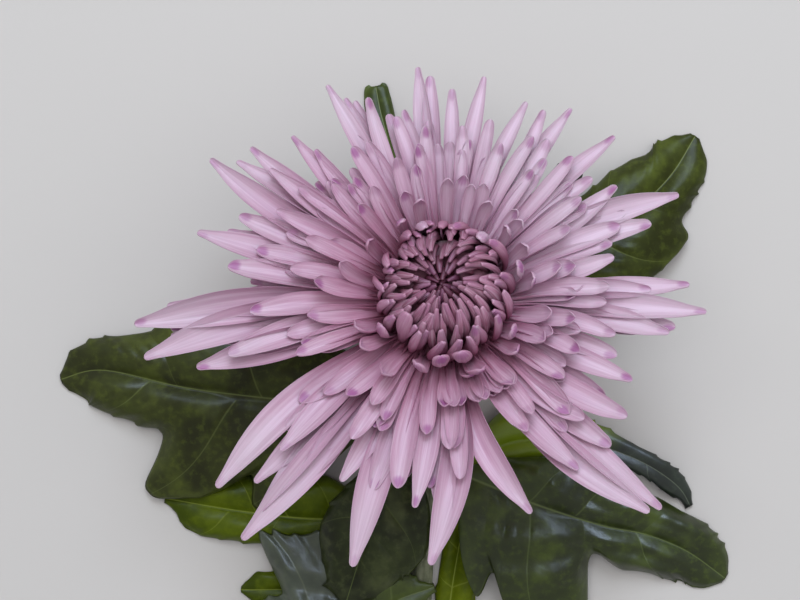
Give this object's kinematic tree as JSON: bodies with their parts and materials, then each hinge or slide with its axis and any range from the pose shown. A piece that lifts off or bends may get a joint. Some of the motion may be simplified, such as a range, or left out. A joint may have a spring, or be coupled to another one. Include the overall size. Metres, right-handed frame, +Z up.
{
  "type": "spider chrysanthemum flower",
  "caption": "Single cut spider chrysanthemum lying on its stem: a wide lilac bloom of long curved florets over lobed green leaves.",
  "frame": {"origin": "middle of the flower's box in plan, on the surface that it lies on", "axes": "+Y runs along the flower from the stem's cut end to the bloom, +Z is up, and the bloom faces up and leans to +Y"},
  "size_m": [0.1826, 0.306, 0.0666],
  "materials": {
    "petal": "soft satin petal, pale lilac",
    "petal_button": "soft satin petal, deep mauve",
    "bract": "dull green bract",
    "stem": "downy grey-green stem",
    "leaf_dark": "dark green leaf, low sheen",
    "leaf_light": "yellow-green leaf, low sheen",
    "leaf_grey": "grey-green leaf, low sheen"
  },
  "bodies": {
    "root": {"ray_florets": "petal", "crown_florets": "petal_button", "involucre": "bract", "stem": "stem", "leaf_west": "leaf_dark", "leaf_southwest": "leaf_light", "leaf_south": "leaf_dark", "leaf_southeast": "leaf_dark", "leaf_east": "leaf_light", "leaf_northeast": "leaf_dark", "leaf_north": "leaf_dark", "leaf_north_tall": "leaf_light", "leaf_northeast_small": "leaf_dark", "leaf_northwest": "leaf_dark", "leaf_lower_west": "leaf_grey", "leaf_lower_west_small": "leaf_light", "leaf_lower_curled": "leaf_dark", "leaf_lower_east": "leaf_light"}
  },
  "joints": []
}
